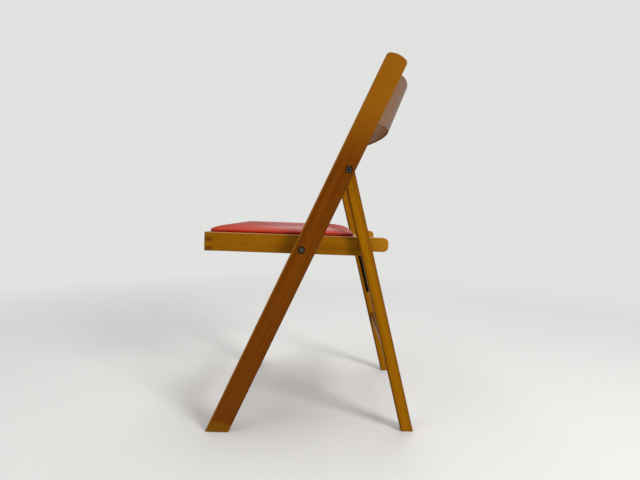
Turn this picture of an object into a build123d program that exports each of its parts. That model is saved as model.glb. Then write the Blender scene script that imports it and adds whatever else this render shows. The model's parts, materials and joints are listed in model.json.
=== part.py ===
from build123d import *
import math
import os

# Folding chair of beech with a padded seat. Lengths in millimetres, angles in degrees.
# X runs across the chair, +Y to its back and +Z up. The sitter's left is +X.
# The side view is laid out from the foot of the main rail's centre line, and the finished
# chair is then moved so that the middle of its floor area is the origin.

# Overall
chair_height = 780.0
overall_width = 444.0

# Main rails, the boards that run from the front feet up to the back
rail_depth = 45.0
rail_thickness = 21.0
rail_lean = 25.0
rail_top_round = 9.0
rail_end_radius = 45.0
rail_edge_round = 3.0

# Rear legs
leg_depth = 25.0
leg_thickness = 22.0
leg_lean = 13.8
leg_edge_round = 3.5
foot_edge_round = 1.2

# Pivots, measured along the main rail from the floor and across it from its centre line
upper_pivot_up_rail = 610.0
upper_pivot_set_back = 10.0
seat_pivot_up_rail = 422.0
seat_pivot_set_forward = 5.5

# Seat frame, measured along the seat from its pivot
seat_slope = 1.1
seat_front_reach = 211.0
seat_tail_reach = 182.0
seat_back_reach = 115.0
seat_rail_height = 40.0
seat_rail_thickness = 20.0
seat_pivot_above_foot = 12.0
seat_edge_round = 1.8
tail_height = 30.0
tail_round = 11.0
tail_step_reach = 136.0
tail_step_round = 6.0
cross_rail_thickness = 18.0
comb_fingers = 4
dowel_diameter = 8.0
dowel_depth = 12.0
dowel_spacing = 20.0
corner_block_leg = 38.0
corner_block_thickness = 24.0

# Seat pad
pad_front_inset = 8.5
pad_side_inset = 8.0
pad_back_inset = 7.0
pad_corner_round = 16.0
pad_crown = 17.5
pad_side_height = 4.0
pad_crown_reach = 35.0
pad_crown_step = 10
pad_tuck = 1.2
cover_thickness = 1.2
cover_margin = 28.0
board_thickness = 5.0
staple_crown = 10.0
staple_wire = 0.9
staple_leg = 5.0
staple_pitch = 48.0
staple_from_edge = 20.0
staple_block_gap = 1.0

# Backrest panel
panel_below_top = 83.5
panel_set_back = 1.9
panel_height = 116.0
panel_arch = 29.5
panel_thickness = 6.5
panel_lean = 21.6
panel_sag = 50.7
panel_housing_depth = 9.0
panel_edge_round = 2.0

# Stretchers
front_stretcher_up_rail = 116.0
front_stretcher_height = 40.0
front_stretcher_thickness = 16.0
front_stretcher_inset = 3.5
front_tenon_length = 12.0
rear_stretcher_below_pivot = 401.5
rear_stretcher_height = 23.0
rear_stretcher_thickness = 14.0
rear_tenon_length = 10.0
tenon_shoulder = 3.5
stretcher_edge_round = 2.5

# Hardware
recess_diameter = 15.0
recess_depth = 6.5
screw_diameter = 6.0
screw_head_diameter = 13.0
screw_head_height = 4.0
screw_head_round = 1.4
socket_width = 5.0
socket_depth = 2.4
sleeve_diameter = 10.0
sleeve_flange_diameter = 15.0
sleeve_flange_thickness = 2.0
sleeve_overlap = 9.0
driver_slot_width = 1.6
driver_slot_depth = 1.0
pivot_washer_diameter = 20.0
pivot_washer_thickness = 1.0
bolt_diameter = 6.0
bolt_head_diameter = 15.0
bolt_head_height = 4.0
bolt_end_length = 1.0
nut_width = 10.0
nut_height = 4.0
nut_washer_diameter = 13.6
nut_washer_thickness = 1.2
spacer_diameter = 16.0
slide_pin_diameter = 8.0
slide_pin_depth = 14.0
groove_depth = 9.0
groove_overrun = 2.5
board_screw_diameter = 4.0
board_screw_head_diameter = 8.0
board_screw_bite = 3.5

# Clearances
slide_gap = 2.0
face_gap = 0.15
running_gap = 0.05
moving_gap = 0.3
joint_gap = 0.1
groove_side_gap = 0.4
fold_stop_gap = 0.6

# Lateral layout of the left side, from the outside in
rail_outer_x = overall_width / 2
rail_inner_x = rail_outer_x - rail_thickness
leg_outer_x = rail_inner_x - pivot_washer_thickness - face_gap
leg_inner_x = leg_outer_x - leg_thickness
seat_outer_x = leg_inner_x - slide_gap
seat_inner_x = seat_outer_x - seat_rail_thickness

# Frames of the side view
rail_frame = Rot(-rail_lean, 0, 0)


def on_rail(across, along):
    """Point of the side view, behind the main rail's centre line and up the rail from the floor."""
    return (rail_frame * Pos(0, across, along)).position


# Main rail's length to the crest of its arched end, from the height of its rounded front top corner
lean = math.radians(rail_lean)
top_corner_across = rail_depth / 2 - rail_top_round
top_corner_rise = chair_height - rail_top_round - top_corner_across * math.sin(lean)
crest_above_corner = rail_end_radius - math.sqrt(
    (rail_end_radius - rail_top_round)**2 - top_corner_across**2)
rail_length = top_corner_rise / math.cos(lean) + crest_above_corner

upper_pivot = on_rail(upper_pivot_set_back, upper_pivot_up_rail)
seat_pivot = on_rail(-seat_pivot_set_forward, seat_pivot_up_rail)
panel_centre = on_rail(panel_set_back, rail_length - panel_below_top)
leg_frame = Pos(upper_pivot) * Rot(leg_lean, 0, 0)
seat_frame = Pos(seat_pivot) * Rot(-seat_slope, 0, 0)
panel_frame = Pos(panel_centre) * Rot(-panel_lean, 0, 0)

# Seat heights, measured square to the seat from its pivot
seat_foot = -seat_pivot_above_foot
seat_top = seat_foot + seat_rail_height
tail_foot = seat_top - tail_height
pin_height = (seat_top + tail_foot) / 2

# Places of the cross rails and the pad along the seat
front_rail_back = -seat_front_reach + cross_rail_thickness
rear_rail_front = seat_back_reach - cross_rail_thickness
rear_rail_middle = seat_back_reach - cross_rail_thickness / 2
pad_width = 2 * (seat_outer_x - pad_side_inset)
pad_front = -seat_front_reach + pad_front_inset
pad_back = seat_back_reach - pad_back_inset
pad_length = pad_back - pad_front
pad_middle = (pad_front + pad_back) / 2

# Stack of the seat pivot's nut in the main rail's recess
recess_floor_x = rail_outer_x - recess_depth
nut_x = recess_floor_x + nut_washer_thickness
nut_top_x = nut_x + nut_height

# Front stretcher's centre line, behind the main rail's centre line
front_stretcher_across = -rail_depth / 2 + front_stretcher_inset + front_stretcher_thickness / 2


def side_cross(a, b):
    """Cross product of two vectors of the side view."""
    return a.Y * b.Z - a.Z * b.Y


# The slide pin stands where the rear leg's centre line crosses the middle of the tail
leg_down = (Rot(leg_lean, 0, 0) * Pos(0, 0, -1)).position
seat_back = (Rot(-seat_slope, 0, 0) * Pos(0, 1, 0)).position
pivots_apart = upper_pivot - (seat_frame * Pos(0, 0, pin_height)).position
pin_reach = side_cross(pivots_apart, leg_down) / side_cross(seat_back, leg_down)
groove_start = side_cross(pivots_apart, seat_back) / side_cross(seat_back, leg_down)

def corner_angle(first, second, opposite):
    """Angle of a triangle between two of its sides, from the three lengths."""
    return math.acos((first**2 + second**2 - opposite**2) / (2 * first * second))


# Folding: the rear leg swings forward until its front edge comes to the seat pivot's spacer
pivot_distance = (upper_pivot - seat_pivot).length
pin_radius = math.hypot(pin_reach, pin_height)
groove_end = pivot_distance + pin_radius + groove_overrun
stop_distance = (spacer_diameter + leg_depth) / 2 + fold_stop_gap
leg_angle_open = corner_angle(pivot_distance, groove_start, pin_radius)
seat_angle_open = corner_angle(pivot_distance, pin_radius, groove_start)
leg_angle_folded = math.asin(stop_distance / pivot_distance)
seat_angle_folded = math.pi - leg_angle_folded - math.asin(stop_distance / pin_radius)
seat_fold = math.degrees(seat_angle_folded - seat_angle_open)
leg_fold = math.degrees(leg_angle_open - leg_angle_folded)


def lateral_rod(point, start_x, end_x, diameter):
    """Round bar along X between two lateral positions, through a point of the side view."""
    rod = Cylinder(diameter / 2, end_x - start_x, align=(Align.CENTER, Align.CENTER, Align.MIN))
    return Pos(start_x, point.Y, point.Z) * Rot(0, 90, 0) * rod


def lateral_hexagon(point, start_x, end_x, width):
    """Hexagonal bar along X, with the given width across its flats."""
    face = Plane.YZ * RegularPolygon(width / 2, 6, major_radius=False)
    return extrude(Pos(start_x, point.Y, point.Z) * face, end_x - start_x)


def block(low, high):
    """Box between two corners."""
    size = [b - a for a, b in zip(low, high)]
    return Pos(*low) * Box(*size, align=(Align.MIN, Align.MIN, Align.MIN))


def right_side(left):
    """The same piece on the other side of the chair."""
    return mirror(left, about=Plane.YZ)


def group(pieces):
    """Several pieces as one group of separate solids."""
    return Compound([solid for piece in pieces for solid in piece.solids()])


def both_sides(left):
    """A left piece and its mirror image as a group of separate solids."""
    return group([left, right_side(left)])


def trimmed_at_floor(piece):
    """The part of a leaning piece above the floor."""
    reach = chair_height + overall_width
    return piece & block((-reach, -reach, 0), (reach, reach, reach))


def eased_board(piece, edge_round):
    """Round the outline of a leaning board's two broad faces, and more lightly its foot."""
    broad_faces = piece.faces().filter_by(Axis.X)
    outline = [
        edge for face in broad_faces for edge in face.edges() if edge.center().Z > foot_edge_round]
    piece = fillet(outline, edge_round)
    foot = piece.faces().sort_by(Axis.Z)[0]
    return fillet(foot.edges(), foot_edge_round)


def arched_edge(height):
    """Arc across the panel's front view, from beyond one end to beyond the other."""
    arch_radius = (rail_inner_x**2 + panel_arch**2) / (2 * panel_arch)
    end_x = rail_outer_x
    drop = arch_radius - math.sqrt(arch_radius**2 - end_x**2)
    crest = height + panel_arch
    return ThreePointArc((-end_x, crest - drop), (0, crest), (end_x, crest - drop))


def panel_body(spare, end_x, edge_round=0):
    """Bent and arched backrest panel out to a lateral position, made larger by spare all round."""
    bend_radius = (rail_inner_x**2 + panel_sag**2) / (2 * panel_sag)
    half_height = panel_height / 2 + spare
    section = Rectangle(panel_thickness + 2 * spare, 2 * panel_height + 4 * panel_arch)
    half_turn = math.degrees(math.asin(end_x / bend_radius))
    placed = Rot(0, 0, 90 - half_turn) * (Plane.XZ * Pos(bend_radius, 0) * section)
    band = Pos(0, panel_sag - bend_radius, 0) * revolve(placed, Axis.Z, 2 * half_turn)
    top, bottom = arched_edge(half_height), arched_edge(-half_height)
    sides = [Line(top @ 0, bottom @ 0), Line(top @ 1, bottom @ 1)]
    front_view = make_face(Curve() + [top, bottom] + sides)
    reach = bend_radius
    panel = band & extrude(Plane.XZ * front_view, reach, both=True)
    if edge_round == 0:
        return panel
    long_edges = [edge for edge in panel.edges() if edge.length > rail_inner_x]
    return fillet(long_edges, edge_round)


def backrest_panel():
    """Bent plywood panel whose ends are housed in the main rails."""
    return panel_frame * panel_body(0, rail_inner_x + panel_housing_depth, panel_edge_round)


def front_stretcher_bar(spare):
    """Front stretcher's tenon, as wide as the mortises are apart, with spare all round."""
    return stretcher_tenon(
        rail_inner_x + front_tenon_length + spare, front_stretcher_across, front_stretcher_up_rail,
        front_stretcher_thickness, front_stretcher_height, spare)


def stretcher_tenon(end_x, across, along, thickness, height, spare):
    """Bar with a tenon's section that runs right across the chair."""
    tenon_thickness = thickness - 2 * tenon_shoulder + 2 * spare
    tenon_height = height - 2 * tenon_shoulder + 2 * spare
    return Pos(0, across, along) * Box(2 * end_x, tenon_thickness, tenon_height)


def stretcher(shoulder_x, across, along, thickness, height):
    """Cross bar with rounded long edges between two shoulders."""
    bar = Pos(0, across, along) * Box(2 * shoulder_x, thickness, height)
    return fillet(bar.edges().filter_by(Axis.X), stretcher_edge_round)


def front_stretcher():
    """Low cross bar between the main rails, in the front half of their depth."""
    bar = stretcher(
        rail_inner_x, front_stretcher_across, front_stretcher_up_rail,
        front_stretcher_thickness, front_stretcher_height)
    return rail_frame * (bar + front_stretcher_bar(0))


def rear_stretcher_bar(spare):
    """Rear stretcher's tenon, as wide as the mortises are apart, with spare all round."""
    return stretcher_tenon(
        leg_inner_x + rear_tenon_length + spare, 0, -rear_stretcher_below_pivot,
        rear_stretcher_thickness, rear_stretcher_height, spare)


def rear_stretcher():
    """Low cross bar between the rear legs."""
    bar = stretcher(
        leg_inner_x, 0, -rear_stretcher_below_pivot, rear_stretcher_thickness, rear_stretcher_height)
    return leg_frame * (bar + rear_stretcher_bar(0))


def main_rail():
    """Left main rail, with its bolt holes, panel groove and stretcher mortise."""
    overrun = rail_depth
    edge_y = rail_depth / 2
    shoulder = rail_length - rail_end_radius + math.sqrt(rail_end_radius**2 - edge_y**2)
    sides = Polyline((edge_y, shoulder), (edge_y, -overrun), (-edge_y, -overrun), (-edge_y, shoulder))
    arch = ThreePointArc((edge_y, shoulder), (0, rail_length), (-edge_y, shoulder))
    outline = Plane.YZ * make_face(Curve() + [sides, arch])
    blank = extrude(Pos(rail_inner_x, 0, 0) * outline, rail_thickness, dir=(1, 0, 0))
    top_corners = blank.edges().filter_by(Axis.X).group_by(Axis.Z)[-1]
    rail = eased_board(trimmed_at_floor(rail_frame * fillet(top_corners, rail_top_round)), rail_edge_round)
    for pivot in (upper_pivot, seat_pivot):
        rail -= lateral_rod(pivot, rail_outer_x - recess_depth, rail_outer_x + recess_depth, recess_diameter)
    sleeve_bore = sleeve_diameter + 2 * running_gap
    rail -= lateral_rod(upper_pivot, rail_inner_x - 1, rail_outer_x, screw_diameter + 2 * running_gap)
    rail -= lateral_rod(upper_pivot, rail_inner_x - 1, rail_inner_x + sleeve_overlap, sleeve_bore)
    rail -= lateral_rod(seat_pivot, rail_inner_x - 1, rail_outer_x, bolt_diameter + 2 * running_gap)
    rail -= panel_frame * panel_body(joint_gap, rail_inner_x + panel_housing_depth + joint_gap)
    rail -= rail_frame * front_stretcher_bar(joint_gap)
    return rail


def rear_leg():
    """Left rear leg, with its pivot bore, blind groove and stretcher mortise."""
    length = upper_pivot.Z / math.cos(math.radians(leg_lean)) + leg_depth
    shank = Pos(leg_inner_x, 0, 0) * Box(
        leg_thickness, leg_depth, length, align=(Align.MIN, Align.CENTER, Align.MAX))
    round_top = lateral_rod(Vector(0, 0, 0), leg_inner_x, leg_outer_x, leg_depth)
    leg = eased_board(trimmed_at_floor(leg_frame * (shank + round_top)), leg_edge_round)
    flange_recess = sleeve_flange_thickness + moving_gap
    leg -= lateral_rod(upper_pivot, leg_inner_x - 1, leg_outer_x + 1, sleeve_diameter + 2 * running_gap)
    leg -= lateral_rod(
        upper_pivot, leg_inner_x - 1, leg_inner_x + flange_recess, sleeve_flange_diameter + 2 * moving_gap)
    groove_width = slide_pin_diameter + 2 * groove_side_gap
    groove_bottom_x = leg_inner_x + groove_depth
    groove = block(
        (leg_inner_x - 1, -groove_width / 2, -groove_end),
        (groove_bottom_x, groove_width / 2, -groove_start))
    for end in (groove_start, groove_end):
        groove += lateral_rod(Vector(0, 0, -end), leg_inner_x - 1, groove_bottom_x, groove_width)
    leg -= leg_frame * groove
    leg -= leg_frame * rear_stretcher_bar(joint_gap)
    return leg


def comb_slots(start, low_x, high_x):
    """Boxes of every second finger of the front corner joint, counted down from the seat's top."""
    finger = seat_rail_height / comb_fingers
    slots = [
        block(
            (low_x, -seat_front_reach, seat_top - (index + 1) * finger),
            (high_x, -seat_front_reach + cross_rail_thickness, seat_top - index * finger))
        for index in range(start, comb_fingers, 2)]
    return group(slots)


def corner_edges(piece, reach, height=None):
    """Edges of a seat rail's blank that run across it at a reach and, if given, at a height."""
    tolerance = 0.01
    crossing = piece.edges().filter_by(Axis.X)
    found = [edge for edge in crossing if abs(edge.center().Y - reach) < tolerance]
    if height is None:
        return found
    return [edge for edge in found if abs(edge.center().Z - height) < tolerance]


def board_point(x, reach):
    """Point on the seat frame's top, in the seat's own frame."""
    return Vector(x, reach, seat_top)


def dowel_places():
    """Heights of the dowels that join the rear cross rail to the side rails."""
    middle = (seat_foot + seat_top) / 2
    return [middle - dowel_spacing / 2, middle + dowel_spacing / 2]


def dowels(spare):
    """Dowels at the left end of the rear cross rail."""
    rods = [
        lateral_rod(
            Vector(0, rear_rail_middle, height), seat_inner_x - dowel_depth - spare,
            seat_inner_x + dowel_depth + spare, dowel_diameter + 2 * spare)
        for height in dowel_places()]
    return group(rods)


def seat_rail():
    """Left side rail of the seat, with its rounded tail, comb fingers, pivot bore and pin hole."""
    outline = Polyline(
        (-seat_front_reach, seat_foot), (tail_step_reach, seat_foot), (tail_step_reach, tail_foot),
        (seat_tail_reach, tail_foot), (seat_tail_reach, seat_top), (-seat_front_reach, seat_top), close=True)
    rail = extrude(Plane.YZ.offset(seat_inner_x) * make_face(outline), seat_rail_thickness)
    rail = fillet(corner_edges(rail, seat_tail_reach), tail_round)
    rail = fillet(corner_edges(rail, tail_step_reach, tail_foot), tail_step_round)
    rail = fillet(rail.faces().sort_by(Axis.X)[-1].edges(), seat_edge_round)
    rail -= comb_slots(1, seat_inner_x, seat_outer_x)
    rail -= lateral_rod(Vector(0, 0, 0), seat_inner_x - 1, seat_outer_x + 1, bolt_diameter + 2 * running_gap)
    rail -= lateral_rod(
        Vector(0, pin_reach, pin_height), seat_outer_x - slide_pin_depth, seat_outer_x + 1,
        slide_pin_diameter + 2 * running_gap)
    rail -= dowels(running_gap)
    return seat_frame * rail


def seat_front_rail():
    """Front cross rail of the seat, comb-jointed to the side rails."""
    rail = block(
        (-seat_outer_x, -seat_front_reach, seat_foot),
        (seat_outer_x, -seat_front_reach + cross_rail_thickness, seat_top))
    rail = fillet(rail.faces().sort_by(Axis.Y)[0].edges(), seat_edge_round)
    for low_x, high_x in ((seat_inner_x, seat_outer_x), (-seat_outer_x, -seat_inner_x)):
        rail -= comb_slots(0, low_x, high_x)
    return seat_frame * rail


def seat_rear_rail():
    """Rear cross rail of the seat, dowelled between the side rails."""
    rail = block((-seat_inner_x, rear_rail_front, seat_foot), (seat_inner_x, seat_back_reach, seat_top))
    rail = fillet(rail.faces().sort_by(Axis.Y)[-1].edges().filter_by(Axis.X), seat_edge_round)
    left_holes = dowels(running_gap)
    return seat_frame * (rail - left_holes - right_side(left_holes))


def corner_block_screws():
    """Screw places of the left corner blocks, front and rear, in the seat's own frame."""
    offset = corner_block_leg / 3
    x = seat_inner_x - offset
    return [board_point(x, front_rail_back + offset), board_point(x, rear_rail_front - offset)]


def board_screw(place, spare):
    """Countersunk screw from under a corner block up into the seat board."""
    foot = place.Z - corner_block_thickness
    tip = place.Z + cover_thickness + board_screw_bite
    shank = Pos(place.X, place.Y, foot) * Cylinder(
        board_screw_diameter / 2 + spare, tip - foot + spare, align=(Align.CENTER, Align.CENTER, Align.MIN))
    head_height = (board_screw_head_diameter - board_screw_diameter) / 2
    head = Pos(place.X, place.Y, foot) * Cone(
        board_screw_head_diameter / 2 + spare, board_screw_diameter / 2 + spare, head_height,
        align=(Align.CENTER, Align.CENTER, Align.MIN))
    return shank + head


def left_board_screws(spare):
    """The two screws of the left corner blocks."""
    return group([board_screw(place, spare) for place in corner_block_screws()])


def seat_corner_blocks():
    """Left corner blocks, glued into the front and rear corners of the seat frame."""
    blocks = []
    for corner_y, inward in ((front_rail_back, 1), (rear_rail_front, -1)):
        outline = Polyline(
            (seat_inner_x, corner_y), (seat_inner_x - corner_block_leg, corner_y),
            (seat_inner_x, corner_y + inward * corner_block_leg), close=True)
        base = Pos(0, 0, seat_top - corner_block_thickness) * make_face(outline)
        blocks.append(extrude(base, corner_block_thickness, dir=(0, 0, 1)))
    return group([piece - left_board_screws(running_gap) for piece in blocks])


def pad_section(inset, height):
    """Rounded outline of the pad, drawn in by an inset, at a height above the seat frame."""
    corner = pad_corner_round - min(inset, pad_corner_round / 2)
    outline = RectangleRounded(pad_width - 2 * inset, pad_length - 2 * inset, corner)
    return Pos(0, pad_middle, seat_top + height) * outline


def pad_form(skin, base):
    """Crowned pad with tucked-in sides, inside a skin and from a base height up."""
    rise = pad_crown - pad_side_height
    sections = [pad_section(skin + pad_tuck, base)]
    sections.append(pad_section(skin, (pad_side_height + base) / 2))
    for angle in range(0, 91, pad_crown_step):
        turn = math.radians(angle)
        inset = pad_crown_reach * (1 - math.cos(turn))
        sections.append(pad_section(skin + inset, pad_side_height + rise * math.sin(turn) - skin))
    return loft(sections, ruled=True)


def staple_run(half, opening, row_inset):
    """Half the length of a row of staples, which ends short of the pad's corners and the corner blocks."""
    to_corner = half - pad_corner_round - staple_from_edge
    to_block = opening - (corner_block_leg - row_inset) - staple_crown / 2 - staple_block_gap
    return min(to_corner, to_block)


def staple_places():
    """Staples round the pad's underside: place and whether the crown runs along X."""
    places = []
    frame_half = min(rear_rail_front - pad_middle, pad_middle - front_rail_back)
    for half, across, opening, opening_across, along_x in (
            (pad_width / 2, pad_length / 2, seat_inner_x, frame_half, True),
            (pad_length / 2, pad_width / 2, frame_half, seat_inner_x, False)):
        run = staple_run(half, opening, opening_across - (across - staple_from_edge))
        count = int(2 * run / staple_pitch) + 1
        for index in range(count):
            along = (index - (count - 1) / 2) * staple_pitch
            for side in (-1, 1):
                edge = side * (across - staple_from_edge)
                place = (along, edge) if along_x else (edge, along)
                places.append((place, along_x))
    return places


def staple():
    """One staple with its crown along X, under the cover's margin."""
    half_wire = staple_wire / 2
    half_crown = staple_crown / 2
    wire = block((-half_crown, -half_wire, -staple_wire), (half_crown, half_wire, 0))
    for side in (-1, 1):
        x = side * (half_crown - half_wire)
        wire += block((x - half_wire, -half_wire, -staple_wire), (x + half_wire, half_wire, staple_leg))
    return wire


def cover_staples():
    """All the staples that hold the cover's turned-in margin to the board, in the seat's own frame."""
    one = staple()
    turned = Rot(0, 0, 90) * one
    placed = [
        Pos(x, pad_middle + y, seat_top) * (one if along_x else turned)
        for (x, y), along_x in staple_places()]
    return group(placed)


def seat_board():
    """Plywood board under the foam."""
    gap = cover_thickness + pad_tuck + joint_gap
    outline = RectangleRounded(pad_width - 2 * gap, pad_length - 2 * gap, pad_corner_round - gap)
    board = extrude(Pos(0, pad_middle, seat_top + cover_thickness) * outline, board_thickness)
    screws = left_board_screws(running_gap)
    return board - screws - right_side(screws) - cover_staples()


def seat_foam():
    """Crowned foam between the board and the cover."""
    foam = pad_form(cover_thickness + moving_gap, cover_thickness)
    board_top = seat_top + cover_thickness + board_thickness
    reach = overall_width
    above = block((-reach, -reach, board_top), (reach, reach, board_top + pad_crown))
    return foam & above


def seat_cover():
    """Sheet that wraps the foam and the board, and turns in under the board."""
    skin = pad_form(0, 0) - pad_form(cover_thickness, cover_thickness)
    opening = RectangleRounded(
        pad_width - 2 * cover_margin, pad_length - 2 * cover_margin, pad_corner_round / 2)
    skin -= extrude(Pos(0, pad_middle, seat_top - 1) * opening, 2 + cover_thickness)
    screws = left_board_screws(moving_gap)
    return skin - screws - right_side(screws) - cover_staples()


def upper_pivot_screw():
    """Screw of the left upper pivot, its head sunk in the main rail."""
    top_x = recess_floor_x + screw_head_height
    head = lateral_rod(upper_pivot, recess_floor_x, top_x, screw_head_diameter)
    head = fillet(head.edges().group_by(Axis.X)[-1], screw_head_round)
    head -= lateral_hexagon(upper_pivot, top_x - socket_depth, top_x + 1, socket_width)
    return head + lateral_rod(upper_pivot, leg_inner_x + leg_thickness / 2, recess_floor_x, screw_diameter)


def upper_pivot_sleeve_nut():
    """Sleeve nut of the left upper pivot: the rear leg turns on it, its flange flush in the leg."""
    flange_x = leg_inner_x + sleeve_flange_thickness
    nut = lateral_rod(upper_pivot, leg_inner_x, flange_x, sleeve_flange_diameter)
    nut += lateral_rod(upper_pivot, leg_inner_x, rail_inner_x + sleeve_overlap, sleeve_diameter)
    nut -= lateral_rod(
        upper_pivot, leg_inner_x + leg_thickness / 2 - 1, rail_outer_x, screw_diameter + 2 * running_gap)
    slot_half = driver_slot_width / 2
    slot = block(
        (leg_inner_x - 1, upper_pivot.Y - sleeve_flange_diameter, upper_pivot.Z - slot_half),
        (leg_inner_x + driver_slot_depth, upper_pivot.Y + sleeve_flange_diameter, upper_pivot.Z + slot_half))
    return nut - slot


def upper_pivot_washer():
    """Washer between the left main rail and the rear leg."""
    start_x = rail_inner_x - pivot_washer_thickness
    disc = lateral_rod(upper_pivot, start_x, rail_inner_x, pivot_washer_diameter)
    return disc - lateral_rod(upper_pivot, start_x - 1, rail_inner_x + 1, sleeve_diameter + 2 * running_gap)


def seat_pivot_bolt():
    """Dome-headed bolt of the left seat pivot, put in from inside the seat."""
    head_x = seat_inner_x - face_gap
    head = lateral_rod(seat_pivot, head_x - bolt_head_height, head_x, bolt_head_diameter)
    head = fillet(head.edges().group_by(Axis.X)[0], bolt_head_height - 1)
    return head + lateral_rod(seat_pivot, head_x, nut_top_x + bolt_end_length, bolt_diameter)


def seat_pivot_nut():
    """Nut of the left seat pivot, sunk in the main rail."""
    nut = lateral_hexagon(seat_pivot, nut_x, nut_top_x, nut_width)
    return nut - lateral_rod(seat_pivot, nut_x - 1, nut_top_x + 1, bolt_diameter + 2 * running_gap)


def seat_pivot_washer():
    """Washer under the nut of the left seat pivot."""
    disc = lateral_rod(seat_pivot, recess_floor_x, nut_x, nut_washer_diameter)
    return disc - lateral_rod(seat_pivot, recess_floor_x - 1, nut_x + 1, bolt_diameter + 2 * running_gap)


def seat_pivot_spacer():
    """Tube that fills the rear leg's zone between the left main rail and the seat."""
    start_x = seat_outer_x + face_gap
    tube = lateral_rod(seat_pivot, start_x, rail_inner_x, spacer_diameter)
    return tube - lateral_rod(seat_pivot, start_x - 1, rail_inner_x + 1, bolt_diameter + 2 * running_gap)


def slide_pin():
    """Pin in the left tail, which points at the rear leg's groove and stops short of the leg."""
    pin = lateral_rod(
        Vector(0, pin_reach, pin_height), seat_outer_x - slide_pin_depth, leg_inner_x - moving_gap,
        slide_pin_diameter)
    return seat_frame * pin


def all_pieces():
    """Every node's name and shape, in the side view's layout."""
    rail, leg, side_rail = main_rail(), rear_leg(), seat_rail()
    return {
        "left_main_rail": rail,
        "right_main_rail": right_side(rail),
        "backrest_panel": backrest_panel(),
        "front_stretcher": front_stretcher(),
        "upper_pivot_screws": both_sides(upper_pivot_screw()),
        "upper_pivot_sleeve_nuts": both_sides(upper_pivot_sleeve_nut()),
        "upper_pivot_washers": both_sides(upper_pivot_washer()),
        "seat_pivot_bolts": both_sides(seat_pivot_bolt()),
        "seat_pivot_nuts": both_sides(seat_pivot_nut()),
        "seat_pivot_washers": both_sides(seat_pivot_washer()),
        "seat_pivot_spacers": both_sides(seat_pivot_spacer()),
        "left_rear_leg": leg,
        "right_rear_leg": right_side(leg),
        "rear_stretcher": rear_stretcher(),
        "left_seat_rail": side_rail,
        "right_seat_rail": right_side(side_rail),
        "seat_front_rail": seat_front_rail(),
        "seat_rear_rail": seat_rear_rail(),
        "seat_rear_dowels": both_sides(seat_frame * dowels(0)),
        "seat_corner_blocks": both_sides(seat_frame * seat_corner_blocks()),
        "seat_board_screws": both_sides(seat_frame * left_board_screws(0)),
        "seat_board": seat_frame * seat_board(),
        "seat_foam": seat_frame * seat_foam(),
        "seat_cover": seat_frame * seat_cover(),
        "cover_staples": seat_frame * cover_staples(),
        "slide_pins": both_sides(slide_pin()),
    }


def main():
    """Build the chair, centre it on its floor area and write one file for each node."""
    pieces = all_pieces()
    boxes = [piece.bounding_box() for piece in pieces.values()]
    middle = (min(box.min.Y for box in boxes) + max(box.max.Y for box in boxes)) / 2
    centred = Pos(0, -middle, 0)
    os.makedirs("parts", exist_ok=True)
    for name, piece in pieces.items():
        solids = [centred * solid for solid in piece.solids()]
        export_step(solids[0] if len(solids) == 1 else Compound(solids), f"parts/{name}.step")
    print("upper pivot", centred * Pos(upper_pivot))
    print("seat pivot", centred * Pos(seat_pivot))
    print("seat fold", seat_fold, "leg fold", leg_fold, "ratio", leg_fold / seat_fold)


main()
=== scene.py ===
import json
import logging
import math
from collections.abc import Callable
from dataclasses import dataclass, field
from enum import Enum

import bmesh
import bpy
import numpy as np
from mathutils import Matrix, Vector


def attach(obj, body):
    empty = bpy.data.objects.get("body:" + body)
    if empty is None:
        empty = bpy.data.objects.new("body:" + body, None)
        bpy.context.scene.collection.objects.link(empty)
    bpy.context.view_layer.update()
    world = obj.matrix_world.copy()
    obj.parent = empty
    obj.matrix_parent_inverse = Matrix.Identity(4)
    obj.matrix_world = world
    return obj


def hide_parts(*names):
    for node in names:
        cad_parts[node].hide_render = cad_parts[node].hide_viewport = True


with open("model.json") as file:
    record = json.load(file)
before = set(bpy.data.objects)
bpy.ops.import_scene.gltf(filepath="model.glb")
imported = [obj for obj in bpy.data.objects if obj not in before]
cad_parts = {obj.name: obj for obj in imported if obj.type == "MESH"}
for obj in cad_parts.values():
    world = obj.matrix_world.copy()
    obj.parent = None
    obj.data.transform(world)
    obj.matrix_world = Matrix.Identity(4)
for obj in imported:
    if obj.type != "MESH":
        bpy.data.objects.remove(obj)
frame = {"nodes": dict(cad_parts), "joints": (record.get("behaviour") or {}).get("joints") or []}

logging.basicConfig(level=logging.INFO, format="%(message)s")
log = logging.getLogger("folding_chair")

Colour = tuple[float, float, float]
Triple = tuple[float, float, float]
Window = tuple[float, float]
Socket = bpy.types.NodeSocket
MM = 0.001
LEG_LEAN = -13.8  # degrees that stand a rear leg upright
LEVEL = 0.9  # least upward part of a level face's normal
TINY = 1e-9  # keeps a division from failing at zero


def srgb(red: int, green: int, blue: int) -> Colour:
    """Turn a display colour into the linear values that a shader takes.

    Args:
        red: Red, 0 to 255.
        green: Green, 0 to 255.
        blue: Blue, 0 to 255.

    Returns:
        The linear colour.
    """
    shares = (value / 255 for value in (red, green, blue))
    return tuple(share / 12.92 if share <= 0.04045 else ((share + 0.055) / 1.055) ** 2.4
                 for share in shares)


class Grain(Enum):
    """Which way the fibres of a piece run, as the turn in degrees that stands them on end."""

    MAIN_RAIL = (25.0, 0.0)
    REAR_LEG = (LEG_LEAN, 0.0)
    SEAT_SIDE = (91.1, 0.0)
    ACROSS = (0.0, -90.0)

    def turn(self) -> Triple:
        """The turn as angles for a Mapping node.

        Returns:
            The angles about X, Y and Z.
        """
        return math.radians(self.value[0]), math.radians(self.value[1]), 0.0


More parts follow.
